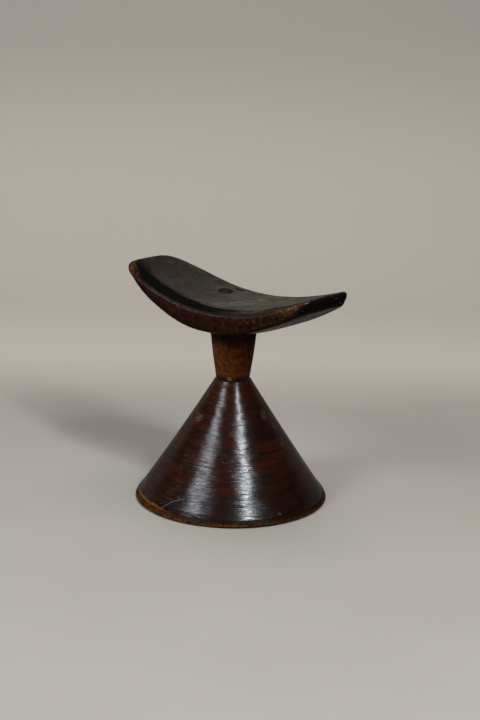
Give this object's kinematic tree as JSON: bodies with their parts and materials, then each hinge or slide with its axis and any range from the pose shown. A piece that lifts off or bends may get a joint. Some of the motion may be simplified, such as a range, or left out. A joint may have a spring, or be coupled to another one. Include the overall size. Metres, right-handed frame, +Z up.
{
  "type": "headrest",
  "caption": "Carved wooden headrest: a curved pillow with a shallow cradle on a short tapered neck, standing on a solid cone with a worn rim.",
  "frame": {"origin": "centre of the base, on the floor", "axes": "+X along the pillow, +Y across it, +Z up"},
  "size_m": [0.173, 0.141, 0.168],
  "materials": {
    "pillow_wood": "near-black brown, hand-polished, satin",
    "knot_wood": "black-brown end grain, dull",
    "neck_wood": "warm orange-brown, matte with dark specks",
    "cone_wood": "dark red-brown, oiled gloss with fine turning rings",
    "rim_wood": "worn golden-brown, satin, vertical fibres"
  },
  "bodies": {
    "root": {"pillow": "pillow_wood", "heart_knot": "knot_wood", "neck": "neck_wood", "cone_base": "cone_wood", "foot_rim": "rim_wood"}
  },
  "joints": []
}
